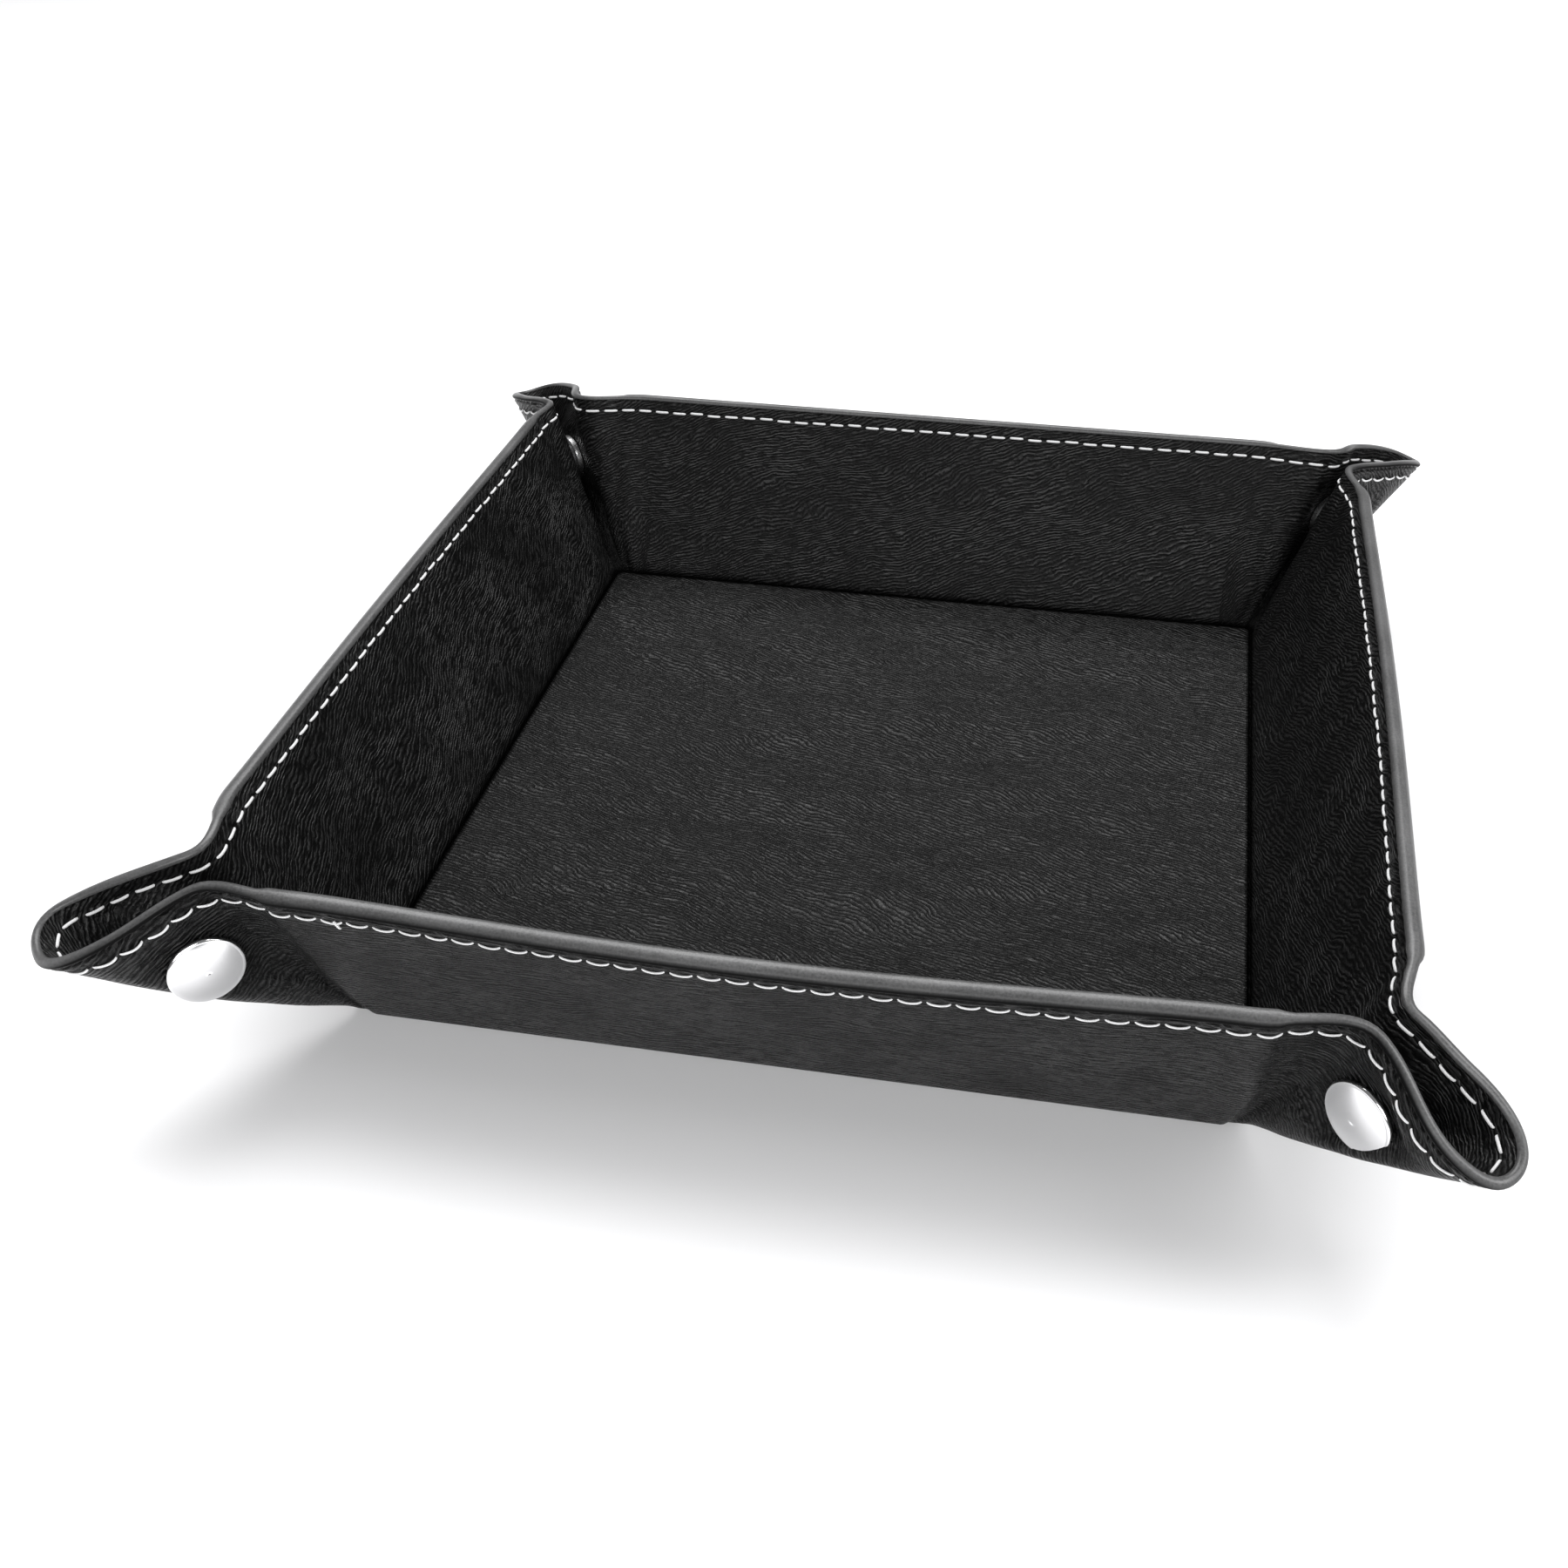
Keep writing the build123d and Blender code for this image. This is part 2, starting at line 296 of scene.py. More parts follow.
half_thick = BOARDED + (SOFT - BOARDED) * thin
crease = 1 - smooth(0.2, 2.2, np.abs(Q))
below_rim = Q[:, -1:] - Q
at_row0 = smooth(-0.4, -1.0, Q)
near_foot = smooth(0.5, 11, Q)
slim = thin * (1 - near_foot)
inner_h = half_thick * (1 - 0.55 * slim) - 0.8 * crease * (1 - slim)
outer_h = half_thick * (1 - 0.45 * slim) - 0.28 * crease * (1 - slim)
inner_h = inner_h + (BOARDED - inner_h) * at_row0
outer_h = outer_h + (BOARDED - outer_h) * at_row0
channel = np.exp(-(((below_rim - SEAM) / 0.38) ** 2))
groove = np.exp(-(((below_rim - 0.95) / 0.17) ** 2))
ridge = np.exp(-(((below_rim - 1.45) / 0.25) ** 2))
inner_h = inner_h - 0.16 * channel - 0.08 * groove + rough_in
outer_h = outer_h - 0.16 * channel - 0.26 * groove + 0.07 * ridge + rough_out
face_in = P + N_in * inner_h[..., None]
face_out = P - N_in * outer_h[..., None]
back_in = P + N_in * np.maximum(inner_h - LEATHER, 0.02)[..., None]
back_out = P - N_in * np.maximum(outer_h - LEATHER, 0.02)[..., None]
normal_in = -ring_normals(face_in)
normal_out = ring_normals(face_out)
for f, s in ((normal_in, 1), (normal_out, -1)):
    bad = (f * N_in).sum(-1) * s < 0.25
    f[bad] = (s * N_in)[bad]


# ---- materials ----
def nodes_of(mat):
    mat.use_nodes = True
    t = mat.node_tree
    t.nodes.clear()
    out = t.nodes.new("ShaderNodeOutputMaterial")
    b = t.nodes.new("ShaderNodeBsdfPrincipled")
    t.links.new(b.outputs[0], out.inputs[0])
    return t, b


def math_node(t, op, a, b=None):
    m = t.nodes.new("ShaderNodeMath")
    m.operation = op
    for i, v in enumerate((a, b)):
        if v is None:
            continue
        if isinstance(v, (int, float)):
            m.inputs[i].default_value = v
        else:
            t.links.new(v, m.inputs[i])
    return m.outputs[0]


def noise(t, vector, scale, detail, rough, distortion=0.0):
    n = t.nodes.new("ShaderNodeTexNoise")
    n.inputs["Scale"].default_value = scale
    n.inputs["Detail"].default_value = detail
    n.inputs["Roughness"].default_value = rough
    n.inputs["Distortion"].default_value = distortion
    t.links.new(vector, n.inputs["Vector"])
    return n.outputs["Fac"]


def mapping(t, vector, scale, shift=(0, 0, 0)):
    m = t.nodes.new("ShaderNodeMapping")
    m.inputs["Scale"].default_value = scale
    m.inputs["Location"].default_value = shift
    t.links.new(vector, m.inputs["Vector"])
    return m.outputs[0]


def ramp(t, fac, stops):
    r = t.nodes.new("ShaderNodeValToRGB")
    r.color_ramp.elements[0].position, r.color_ramp.elements[0].color = stops[0][0], stops[0][1]
    r.color_ramp.elements[1].position, r.color_ramp.elements[1].color = stops[-1][0], stops[-1][1]
    for pos, col in stops[1:-1]:
        e = r.color_ramp.elements.new(pos)
        e.color = col
    t.links.new(fac, r.inputs[0])
    return r.outputs[0]


def grey(v):
    return (v, v, v * 1.01, 1)


def bumps(t, b, height, strength, distance):
    bump = t.nodes.new("ShaderNodeBump")
    bump.inputs["Strength"].default_value = strength
    bump.inputs["Distance"].default_value = distance
    t.links.new(height, bump.inputs["Height"])
    t.links.new(bump.outputs[0], b.inputs["Normal"])


def tinted(t, factor, dark, colour):
    """A colour that goes to a dark grey where the factor is 0."""
    tint = t.nodes.new("ShaderNodeMix")
    tint.data_type = "RGBA"
    t.links.new(factor, tint.inputs["Factor"])
    tint.inputs[6].default_value = grey(dark)
    t.links.new(colour, tint.inputs[7])
    return tint.outputs[2]


def flat_uv(t):
    uv = t.nodes.new("ShaderNodeUVMap")
    uv.uv_map = "flat"
    return uv.outputs[0]


def part_of(t, vector, axis):
    parts = t.nodes.new("ShaderNodeSeparateXYZ")
    t.links.new(vector, parts.inputs[0])
    return parts.outputs[axis]


CREASE_V = 90.0       # where the inner leather's flat pattern crosses a crease
INNER_SHIFT = np.array([400, CREASE_V])


def leather_material(name, stretch, turn, depth, dark, light, rough, shine):
    mat = bpy.data.materials.new(name)
    t, b = nodes_of(mat)
    uv = flat_uv(t)
    # a slow wander turns the wrinkles' direction from place to place
    wander = noise(t, mapping(t, uv, (0.035, 0.05, 1)), 1.0, 2, 0.5)
    shift = t.nodes.new("ShaderNodeVectorMath")
    shift.operation = "MULTIPLY_ADD"
    comb = t.nodes.new("ShaderNodeCombineXYZ")
    t.links.new(wander, comb.inputs[0])
    t.links.new(wander, comb.inputs[1])
    t.links.new(comb.outputs[0], shift.inputs[0])
    shift.inputs[1].default_value = (6, 9, 0)
    t.links.new(uv, shift.inputs[2])
    slant = t.nodes.new("ShaderNodeMapping")
    slant.inputs["Rotation"].default_value = (0, 0, turn)
    t.links.new(shift.outputs[0], slant.inputs["Vector"])
    lines = t.nodes.new("ShaderNodeTexWave")
    lines.bands_direction = "Y"
    lines.inputs["Scale"].default_value = 0.36 / stretch[1]
    lines.inputs["Distortion"].default_value = 7.5
    lines.inputs["Detail"].default_value = 3.0
    lines.inputs["Detail Scale"].default_value = 1.15
    lines.inputs["Detail Roughness"].default_value = 0.6
    t.links.new(mapping(t, slant.outputs[0], (stretch[0], 1, 1)), lines.inputs["Vector"])
    breaks = noise(t, mapping(t, slant.outputs[0], (0.34, 0.95, 1), (5, 8, 0)), 1.0, 3, 0.55, 0.6)
    pebble = noise(t, mapping(t, uv, (1.5, 1.9, 1)), 1.0, 3, 0.6, 0.5)
    fine = noise(t, mapping(t, uv, (4.4, 5.2, 1)), 1.0, 3, 0.6)
    where = ramp(t, noise(t, mapping(t, uv, (0.045, 0.06, 1), (9, 3, 0)), 1.0, 3, 0.55),
                 [(0.34, grey(0.55)), (0.62, grey(1.0))])
    broken = ramp(t, breaks, [(0.34, grey(0.12)), (0.56, grey(1.0))])
    h = math_node(t, "MULTIPLY", lines.outputs["Fac"], broken)
    h = math_node(t, "MULTIPLY", h, where)
    h = math_node(t, "ADD", math_node(t, "MULTIPLY", h, 0.75), math_node(t, "MULTIPLY", pebble, 0.38))
    h = math_node(t, "ADD", h, math_node(t, "MULTIPLY", fine, 0.12))
    bumps(t, b, h, 0.85, depth)
    # painted shade: the crease round the floor is painted near black and its gloss turned down, standing in
    # for the shade in the groove
    reach = math_node(t, "ABSOLUTE", math_node(t, "SUBTRACT", part_of(t, uv, 1), CREASE_V))
    clear = t.nodes.new("ShaderNodeMapRange")
    t.links.new(reach, clear.inputs["Value"])
    for key, value in (("From Min", 1.2), ("From Max", 2.5), ("To Min", 0.08), ("To Max", 1.0)):
        clear.inputs[key].default_value = value
    # painted shade and sheen: the wrinkles' valleys catch no light and their ridges catch more, so gloss is
    # turned down in the valleys and up on the ridges
    lit = ramp(t, h, [(0.22, grey(0.25)), (0.62, grey(1.0)), (0.95, grey(1.5))])
    gloss = math_node(t, "MULTIPLY", math_node(t, "MULTIPLY", clear.outputs[0], lit), shine)
    t.links.new(gloss, b.inputs["Specular IOR Level"])
    # painted shade: the base colour is much darker in the wrinkles' valleys than on their ridges
    grain_with_valley_shade = ramp(t, h, [(0.20, grey(dark)), (0.45, grey(dark * 2.2)), (0.95, grey(light))])
    # painted shade in the crease: the base colour goes to near black there
    t.links.new(tinted(t, clear.outputs[0], 0.0006, grain_with_valley_shade), b.inputs["Base Color"])
    patch = noise(t, mapping(t, uv, (0.03, 0.04, 1), (4, 11, 0)), 1.0, 4, 0.6)
    r = math_node(t, "ADD", math_node(t, "MULTIPLY", patch, 0.16), rough - 0.08)
    t.links.new(r, b.inputs["Roughness"])
    return mat


leather_outer = leather_material("leather_outside", (0.35, 0.95), 0.06, 0.0010, 0.0012, 0.011, 0.36, 0.27)
leather_inner = leather_material("leather_inside", (0.55, 0.85), 0.35, 0.00034, 0.0016, 0.010, 0.41, 0.25)

edge_paint = bpy.data.materials.new("edge_paint")
t, b = nodes_of(edge_paint)
tc = t.nodes.new("ShaderNodeTexCoord")
speck = noise(t, mapping(t, tc.outputs["Object"], (1, 1, 1)), 2600.0, 3, 0.6)
broad = noise(t, mapping(t, tc.outputs["Object"], (1, 1, 1)), 90.0, 3, 0.5)
tone = math_node(t, "ADD", math_node(t, "MULTIPLY", speck, 0.6), math_node(t, "MULTIPLY", broad, 0.4))
# painted shade and highlight: across the edge the colour and gloss go to black next to the outer leather
# and are brightest a little above the middle
full = ramp(t, part_of(t, flat_uv(t), 1),
            [(0.16, grey(0.02)), (0.30, grey(0.35)), (0.52, grey(1.0)), (0.9, grey(0.7))])
paint = ramp(t, tone, [(0.35, grey(0.055)), (0.65, grey(0.125))])
# the colour takes the painted shade and highlight across the edge; the gloss below takes them too
t.links.new(tinted(t, full, 0.004, paint), b.inputs["Base Color"])
t.links.new(math_node(t, "MULTIPLY", full, 0.42), b.inputs["Specular IOR Level"])
bumps(t, b, speck, 0.4, 0.00004)
b.inputs["Roughness"].default_value = 0.31

thread_mat = bpy.data.materials.new("sewing_thread")
t, b = nodes_of(thread_mat)
uv = flat_uv(t)
wave = t.nodes.new("ShaderNodeTexWave")
wave.inputs["Scale"].default_value = 1.0
wave.inputs["Distortion"].default_value = 0.5
t.links.new(mapping(t, uv, (0.55, 0.5, 1)), wave.inputs["Vector"])
hair = noise(t, mapping(t, uv, (1.2, 6.0, 1)), 2.0, 3, 0.6)
tw = math_node(t, "ADD", wave.outputs["Fac"], math_node(t, "MULTIPLY", hair, 0.5))
t.links.new(ramp(t, tw, [(0.1, grey(0.52)), (0.9, grey(0.86))]), b.inputs["Base Color"])
bumps(t, b, tw, 0.8, 0.00006)
b.inputs["Roughness"].default_value = 0.6
b.inputs["Sheen Weight"].default_value = 0.3

board_mat = bpy.data.materials.new("grey_board")
t, b = nodes_of(board_mat)
tc = t.nodes.new("ShaderNodeTexCoord")
fibre = noise(t, mapping(t, tc.outputs["Object"], (1, 1, 1)), 900.0, 5, 0.65)
pulp = ramp(t, fibre, [(0.3, (0.30, 0.25, 0.19, 1)), (0.7, (0.52, 0.44, 0.33, 1))])
t.links.new(pulp, b.inputs["Base Color"])
b.inputs["Roughness"].default_value = 0.9


def metal(name, tone, rough, scratch):
    mat = bpy.data.materials.new(name)
    t, b = nodes_of(mat)
    tc = t.nodes.new("ShaderNodeTexCoord")
    fine = noise(t, mapping(t, tc.outputs["Object"], (1, 0.3, 1)), 2200.0, 4, 0.6)
    smear = noise(t, mapping(t, tc.outputs["Object"], (1, 1, 1)), 160.0, 3, 0.5)
    t.links.new(ramp(t, smear, [(0.3, grey(tone * 0.94)), (0.7, grey(tone))]), b.inputs["Base Color"])
    b.inputs["Metallic"].default_value = 1.0
    worn = math_node(t, "ADD", math_node(t, "MULTIPLY", fine, scratch), rough)
    t.links.new(worn, b.inputs["Roughness"])
    bumps(t, b, fine, 0.12, 0.00001)
    return mat


cap_mat = metal("polished_cap", 0.86, 0.09, 0.05)
snap_mat = metal("plated_snap", 0.62, 0.22, 0.12)


# ---- meshes ----
def make_object(name, verts, faces, mat, uvs=None, normals=None):
    me = bpy.data.meshes.new(name)
    me.from_pydata((np.asarray(verts) / 1000).tolist(), [], faces)
    me.polygons.foreach_set("use_smooth", [True] * len(me.polygons))
    layer = me.uv_layers.new(name="flat")
    if uvs is not None:
        idx = np.zeros(len(me.loops), np.int32)
        me.loops.foreach_get("vertex_index", idx)
        layer.data.foreach_set("uv", np.asarray(uvs, np.float32)[idx].ravel())
    me.materials.append(mat)
    me.validate()
    if normals is not None:
        me.normals_split_custom_set_from_vertices(np.asarray(normals).tolist())
    me.update()
    o = bpy.data.objects.new(name, me)
    bpy.context.scene.collection.objects.link(o)
    return o


def slab(name, face, back, normal, uv, mat, flip):
    """Closed sheet between two grids of points."""
    n, m = face.shape[:2]
    k = n * m
    idx = np.arange(k).reshape(n, m)
    a, b2, c, d = idx[:-1, :-1], idx[1:, :-1], idx[1:, 1:], idx[:-1, 1:]
    top = np.stack([a, b2, c, d], -1).reshape(-1, 4)
    quads = [top, top[:, ::-1] + k]
    edge = np.concatenate([idx[:, 0], idx[-1, 1:], idx[-2::-1, -1], idx[0, -2:0:-1]])
    nxt = np.roll(edge, -1)
    quads.append(np.stack([nxt, edge, edge + k, nxt + k], -1))
    faces = np.concatenate(quads)
    if flip:
        faces = faces[:, ::-1]
    verts = np.concatenate([face.reshape(-1, 3), back.reshape(-1, 3)])
    norms = np.concatenate([normal.reshape(-1, 3), -normal.reshape(-1, 3)])
    uvs = np.concatenate([uv.reshape(-1, 2)] * 2)
    return make_object(name, verts, faces.tolist(), mat, uvs, norms)


# the flat pattern is unbroken from the front left corner's ridge round to it again
flat_u = A2.copy()
flat_u[blocks[-1][2]:] -= ring_length


def flat_pattern(cols, rows):
    """The leather's flat pattern, unbroken over one piece."""
    u = np.unwrap(flat_u[cols][:, rows], axis=0, period=ring_length)
    return np.stack([u, Q[cols][:, rows]], -1)


rim_dir = unit(P[:, -1] - P[:, -3])
rim_n = unit(N_in[:, -2])
rim_h = (inner_h[:, -1] + outer_h[:, -1]) / 2
bead_all, bead_normal = [], []
half_wide, half_high = (rim_h + 0.05)[:, None], 0.25 + 0.5 * rim_h[:, None]
for a in np.radians(np.linspace(-104, 104, 19)):
    across = half_wide * sin(a) * rim_n
    over = half_high * (np.sign(cos(a)) * abs(cos(a)) ** 0.8) * rim_dir
    bead_all.append(P[:, -1] - 0.18 * rim_dir + across + over)
    bead_normal.append(unit(sin(a) / half_wide * rim_n + cos(a) / half_high * rim_dir))
bead_all, bead_normal = np.stack(bead_all, 1), np.stack(bead_normal, 1)


def ring_faces(n, sides):
    """Faces of a closed tube of n rings, with flat ends."""
    idx = np.arange(n * sides).reshape(n, sides)
    nxt = np.roll(idx, -1, axis=1)
    faces = np.stack([idx[:-1], nxt[:-1], nxt[1:], idx[1:]], -1).reshape(-1, 4).tolist()
    return faces + [idx[0].tolist()[::-1], idx[-1].tolist()]


def bead(name, cols):
    """The rim's painted edge."""
    ring, normals = bead_all[cols], bead_normal[cols]
    n, m = ring.shape[:2]
    faces = ring_faces(n, m)
    verts = ring.reshape(-1, 3)
    uv = np.stack(np.broadcast_arrays(around[cols][:, None], np.linspace(0, 1, m)[None]), -1)
    # outward winding
    a, b2, c = (verts[i] for i in faces[m // 2][:3])
    if np.dot(np.cross(b2 - a, c - a), normals[0, m // 2]) < 0:
        faces = [f[::-1] for f in faces]
    return make_object(name, verts, faces, edge_paint, uv.reshape(-1, 2), normals.reshape(-1, 3))


# ---- stitches ----
seam_mid = P[:, SEAM_ROW]
seam_len = np.concatenate([[0], np.cumsum(np.linalg.norm(np.diff(seam_mid, axis=0), axis=1))])
seam_total = seam_len[-1] + np.linalg.norm(seam_mid[0] - seam_mid[-1])
count = int(round(seam_total / STITCH))
pitch = seam_total / count


def along_seam(A, s):
    s = np.asarray(s) % seam_total
    xp = np.append(seam_len, seam_total)
    return np.stack([np.interp(s, xp, np.append(A[:, k], A[0, k])) for k in range(3)], -1)


def column_of(s):
    return int(np.searchsorted(seam_len, s % seam_total, side="right") - 1)


seam_up = unit(P[:, SEAM_ROW + 3] - P[:, SEAM_ROW - 3])


def tube(pts, rad, side, top, oval, lines):
    """Closed tube along points: verts, faces, uv."""
    n, sides = lines.shape
    ang = np.linspace(0, 2 * pi, sides, endpoint=False)[None, :, None]
    across = oval[0] * np.cos(ang) * side[:, None] + oval[1] * np.sin(ang) * top[:, None]
    ring = pts[:, None] + rad[:, None, None] * across
    uv = np.stack(np.broadcast_arrays(lines, np.arange(sides)[None] / sides), -1)
    return ring.reshape(-1, 3), ring_faces(n, sides), uv.reshape(-1, 2)


def stitch(s0, inner, wobble):
    """One stitch as a closed tube: verts, faces, uv."""
    n, sides = 11, 10
    span = 0.79 if inner else 0.93
    tt = np.linspace((1 - span) / 2, (1 + span) / 2, n)
    s = s0 + tt * pitch
    face = (face_in if inner else face_out)[:, SEAM_ROW]
    nor = N_in[:, SEAM_ROW] * (1 if inner else -1)
    k = (tt - tt[0]) / (tt[-1] - tt[0])
    arch = np.sin(k * pi)
    lift = 0.04 + 0.20 * arch**0.6 - 0.36 * (1 - arch) ** 6
    dip = (-0.05 if inner else -0.62) * arch + wobble * 0.10
    up = along_seam(seam_up, s)
    pts = along_seam(face, s) + lift[:, None] * along_seam(nor, s) + dip[:, None] * up
    tan = unit(np.gradient(pts, axis=0))
    nn = unit(along_seam(nor, s))
    side = unit(np.cross(tan, nn))
    top = np.cross(side, tan)
    rad = (0.25 if inner else 0.21) * (0.4 + 0.6 * np.minimum(1, arch * 2.2) ** 0.6)
    twist = np.arange(sides) * 0.35
    return tube(pts, rad, side, top, (1.05, 0.8), (k * pitch)[:, None] * 2 + twist)


stitch_homes = {}
for i in range(count):
    c = column_of((i + 0.5) * pitch)
    for inner in (True, False):
        wob = rng.normal()
        stitch_homes.setdefault((c, inner), []).append(stitch(i * pitch, inner, wob))


# the thread's cut end, a short tail low on the front rim's outside
tail_column = int(np.argmin(np.abs(P[:WALL_COLUMNS, SEAM_ROW, 0] - TAIL_X)))
along_tail = np.linspace(0, 1, 9)[:, None]
tail_up, tail_n = seam_up[tail_column], -N_in[tail_column, SEAM_ROW]
tail = face_out[tail_column, SEAM_ROW] + tail_n * (0.1 + 0.5 * np.sin(along_tail * pi))
tail = tail - tail_up * 2.1 * along_tail + np.array([0.7, 0, 0]) * np.sin(along_tail * 2.6)
tail_run = unit(np.gradient(tail, axis=0))
tail_side = unit(np.cross(tail_run, [0.3, -0.5, 0.8]))
stitch_homes.setdefault((tail_column, False), []).append(
    tube(tail, 0.24 - 0.07 * along_tail[:, 0], tail_side, np.cross(tail_side, tail_run), (1, 1),
         np.arange(9)[:, None] * 0.8 + np.zeros(8)))


def thread_piece(name, cols, inner):
    verts, faces, uvs, k = [], [], [], 0
    for c in cols:
        for v, f, uv in stitch_homes.get((int(c), inner), []):
            verts.append(v)
            uvs.append(uv)
            faces += [[i + k for i in q] for q in f]
            k += len(v)
    if not verts:
        return None
    return make_object(name, np.concatenate(verts), faces, thread_mat, np.concatenate(uvs), None)


# ---- which columns make which piece ----
block_at = {(kind, name): (a, b) for kind, name, a, b in blocks}


def sheet_pieces(label, cols):
    """Outer leather, inner leather, edge paint and the stitches of both faces."""
    cols = cols % C
    pattern = flat_pattern(cols, slice(0, ROWS))
    return [
        slab(label + "_outer_leather", face_out[cols], back_out[cols], normal_out[cols],
             pattern, leather_outer, False),
        slab(label + "_inner_leather", face_in[cols], back_in[cols], normal_in[cols],
             pattern + INNER_SHIFT, leather_inner, True),
        bead(label + "_edge_paint", cols),
        thread_piece(label + "_inner_stitches", cols[:-1], True),
        thread_piece(label + "_outer_stitches", cols[:-1], False),
    ]


def span(edge, step, first, last):
    """Ring columns from one column of a corner half to another."""
    low, high = sorted((edge + step * first, edge + step * last))
    return np.arange(low, high + 1)


def core(name, thick, cols, rows, uv, mat):
    """A sheet inside the skins, along the middle surface."""
    mid, push = P[cols][:, rows], thick * N_in[cols][:, rows]
    return slab(name, mid + push, mid - push, N_in[cols][:, rows], uv, mat, True)


for k, wall in enumerate(walls):
    # the wall with the flat part of the corner halves at its ends
    a, b = block_at[("wall", wall)]
    right = halves[(CORNERS[k]["name"], wall)]
    left = halves[(CORNERS[k - 1]["name"], wall)]
    take = [int(np.searchsorted(h["at"], h["bend"] + 0.01)) for h in (left, right)]
    cols = np.arange(a - take[0], b + take[1] + 1)
    made = sheet_pieces(f"{wall}_wall", cols)
    for o in made[:2]:
        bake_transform(o)
    for o in made[2:]:
        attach(o, f"{wall}_wall")
    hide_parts(f"{wall}_wall_outer_leather")
    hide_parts(f"{wall}_wall_inner_leather")
    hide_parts(f"{wall}_wall_thread")
    boarded = cols[half_thick[cols % C, 20] > 1.35] % C
    rows = slice(len(BEND_ROWS) + 1, ROWS - 8)
    board = core(f"{wall}_wall_board_core", 0.52, boarded, rows,
                 flat_pattern(boarded, rows), board_mat)
    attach(board, f"{wall}_wall")
    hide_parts(f"{wall}_wall_board")
    for half, end_sign in ((left, -1), (right, 1)):
        other = half["corner"]["x" if half["side"] == "y" else "y"][0]
        node = f"{wall}_wall_{other}_fold"
        body = f"{wall}_wall_{other}_corner"
        at = half["at"]
        i1 = int(np.searchsorted(at, half["bend"] + 0.01))
        edge = b + 1 if end_sign > 0 else a - 1
        # the bend is parted where its surface is as far from the wall's plane as from the corner's
        sign = np.array(half["corner"]["sign"], float)
        flip = 1.0 if half["side"] == "y" else -1.0
        n_dir = np.array([sign[0] * flip, -sign[1] * flip, 0.0]) / ROOT2
        corner_at = np.array([sign[0] * HALF, sign[1] * HALF, CREASE_Z])
        row = ROWS - 14
        beside = (edge + end_sign * (i1 - 1)) % C
        wall_at, wall_n = P[beside, row], N_in[beside, row]
        tries = range(i1 + 2, int(np.searchsorted(at, half["pinch"])))
        apart = []
        for i in tries:
            q = P[(edge + end_sign * i) % C, row]
            apart.append(abs(abs((q - wall_at) @ wall_n) - abs((q - corner_at) @ n_dir + SNAP_N)))
        mid = tries[int(np.argmin(apart))]
        bend = sheet_pieces(f"{node}_bend", span(edge, end_sign, i1 - 1, mid))
        ear = sheet_pieces(f"{node}_loop", span(edge, end_sign, mid, len(at) - 1))
        for o, lift in zip(bend, (-BOARDED, BOARDED, 0, BOARDED, -BOARDED)):
            if o:
                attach(o, f"{wall}_wall")
                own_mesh(o)
        for o, lift in zip(ear, (-SOFT, SOFT, 0, SOFT, -SOFT)):
            if o:
                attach(o, body)
                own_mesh(o)
        # a strip inside the bend, which shows only when the corner is flat
        strip_cols = span(edge, end_sign, mid - 3, mid + 4) % C
        rows = slice(len(BEND_ROWS) + 2, ROWS - 3)
        strip = core(f"{node}_crease_strip", 0.35, strip_cols, rows,
                     flat_pattern(strip_cols, rows) + INNER_SHIFT, leather_inner)
        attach(strip, f"{wall}_wall")
        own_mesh(strip)
        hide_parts(f"{node}_outer_leather")
        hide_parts(f"{node}_inner_leather")
        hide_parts(f"{node}_thread")

# ---- base ----
loop_mid = P[:, 0]
scales = np.concatenate([[1, 0.992, 0.98], np.linspace(0.96, 0.04, 24)])


def base_piece(name, z_face, z_back, mat, pattern_shift, dish):
    rings = loop_mid[:, None, :2] * scales[:, None]
    face, back = (np.concatenate([rings, np.full(rings.shape[:2] + (1,), z)], -1) for z in (z_face, z_back))
    wave = 0.10 * np.sin(face[..., 0] * 0.05 + 1) * np.sin(face[..., 1] * 0.045 + 2) * dish
    face[..., 2] += wave * np.clip((1 - scales) * 30, 0, 1)[None]
    n, m = face.shape[:2]
    k = n * m
    idx = np.arange(k).reshape(n, m)
    nxt = np.roll(idx, -1, axis=0)
    top = np.stack([idx[:, :-1], nxt[:, :-1], nxt[:, 1:], idx[:, 1:]], -1).reshape(-1, 4)
    faces = top.tolist() + (top[:, ::-1] + k).tolist()
    faces += np.stack([nxt[:, 0], idx[:, 0], idx[:, 0] + k, nxt[:, 0] + k], -1).tolist()
    centre = 2 * k
    middle = [[0, 0, face[0, -1, 2]], [0, 0, back[0, -1, 2]]]
    verts = np.vstack([face.reshape(-1, 3), back.reshape(-1, 3), middle])
    for here, there in zip(idx[:, -1].tolist(), nxt[:, -1].tolist()):
        faces.append([here, there, centre])
        faces.append([there + k, here + k, centre + 1])
    if z_face < z_back:
        faces = [f[::-1] for f in faces]
    return make_object(name, verts, faces, mat, verts[:, :2] + pattern_shift)


base_in = base_piece("base_floor_leather", CREASE_Z + BOARDED, CREASE_Z + BOARDED - LEATHER,
                     leather_inner, 1500, 1)
base_out = base_piece("base_under_leather", CREASE_Z - BOARDED, CREASE_Z - BOARDED + LEATHER,
                      leather_outer, 900, 0)
for o, node in ((base_in, "base_inner_leather"), (base_out, "base_outer_leather")):
    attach(o, "base")
    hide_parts(node)

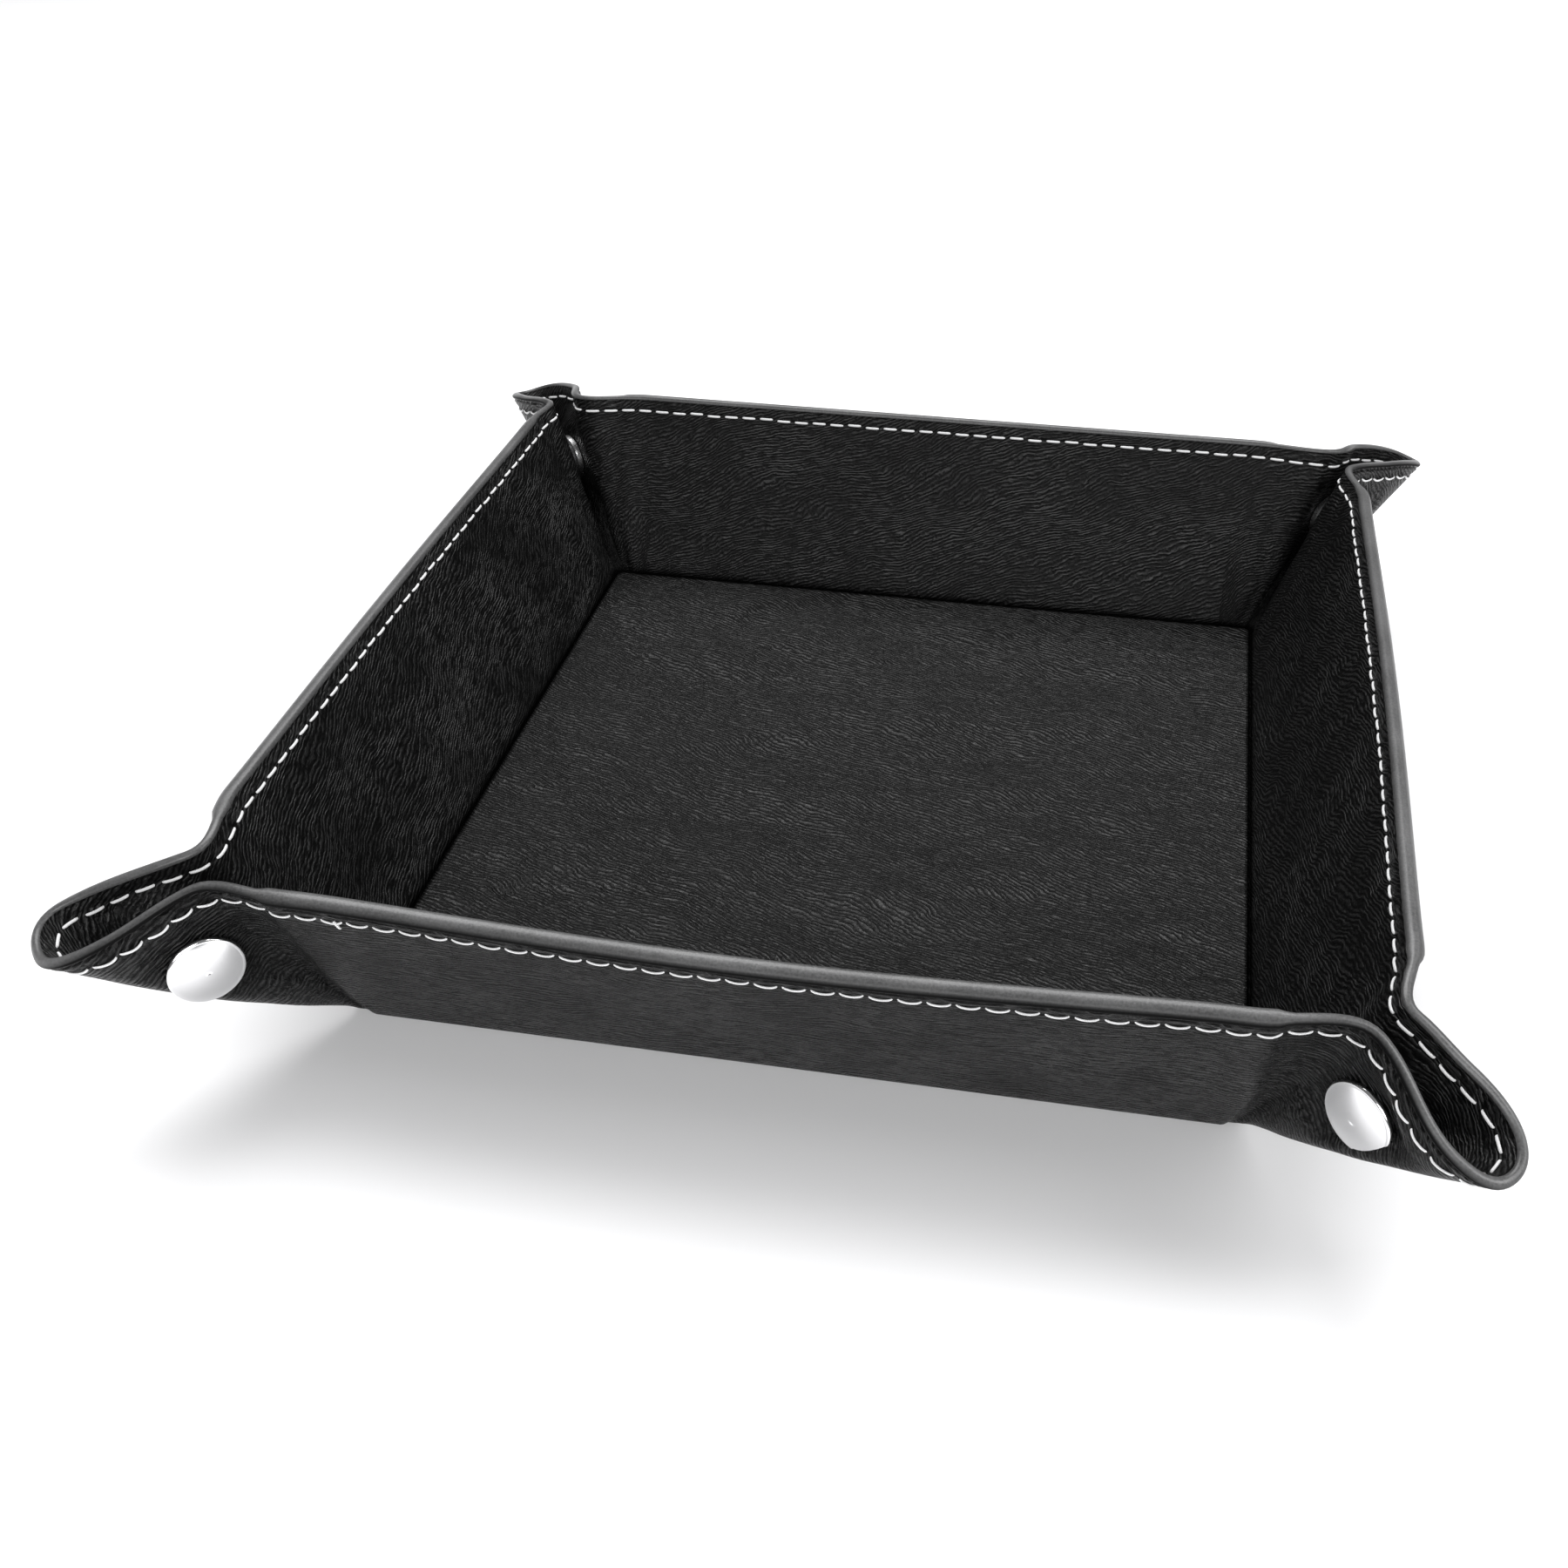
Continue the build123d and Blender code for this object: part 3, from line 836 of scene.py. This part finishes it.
# ---- snaps keep their CAD shapes ----
for name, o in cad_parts.items():
    if "_snap_" in name or name.endswith("_board"):
        mat = snap_mat
        if name.endswith("_cap"):
            mat = cap_mat
        elif name.endswith("_board"):
            mat = board_mat
        o.data.materials.clear()
        o.data.materials.append(mat)
        for p in o.data.polygons:
            p.material_index = 0

# ---- floor, lights, camera ----
floor_mat = bpy.data.materials.new("floor")
t, b = nodes_of(floor_mat)
tc = t.nodes.new("ShaderNodeTexCoord")
soft = noise(t, tc.outputs["Object"], 3.0, 2, 0.5)
t.links.new(ramp(t, soft, [(0.3, grey(0.84)), (0.7, grey(0.86))]), b.inputs["Base Color"])
b.inputs["Roughness"].default_value = 0.8
me = bpy.data.meshes.new("floor")
me.from_pydata([(-4, -4, 0), (4, -4, 0), (4, 4, 0), (-4, 4, 0)], [], [(0, 1, 2, 3)])
me.materials.append(floor_mat)
floor = bpy.data.objects.new("floor", me)
bpy.context.scene.collection.objects.link(floor)


def area(name, at, size, power):
    light = bpy.data.lights.new(name, "AREA")
    light.shape = "RECTANGLE"
    light.size, light.size_y = size
    light.energy = power
    o = bpy.data.objects.new(name, light)
    o.location = at
    o.rotation_euler = (Vector((0, 0, 0.02)) - Vector(at)).to_track_quat("-Z", "Y").to_euler()
    bpy.context.scene.collection.objects.link(o)


area("key", (-0.15, 0.45, 0.95), (1.2, 0.7), 17.0)
area("front", (0.15, -1.0, 0.55), (1.2, 0.5), 11.0)
area("right", (0.95, -0.1, 0.6), (0.4, 0.8), 6.0)
world = bpy.data.worlds.new("studio")
bpy.context.scene.world = world
world.use_nodes = True
world.node_tree.nodes["Background"].inputs[0].default_value = (1, 1, 1, 1)
world.node_tree.nodes["Background"].inputs[1].default_value = 0.20
bpy.context.scene.view_settings.view_transform = "Standard"

cam = bpy.data.cameras.new("camera")
cam.sensor_width = 36
cam.lens = 37.79
cam.shift_x = -0.0603
cam.shift_y = 0.0393
cam_o = bpy.data.objects.new("camera", cam)
cam_o.location = (0.049948, -0.267691, 0.204450)
sight = Vector((0.004969, -0.015402, 0)) - cam_o.location
cam_o.rotation_euler = sight.to_track_quat("-Z", "Y").to_euler()
bpy.context.scene.collection.objects.link(cam_o)
bpy.context.scene.camera = cam_o
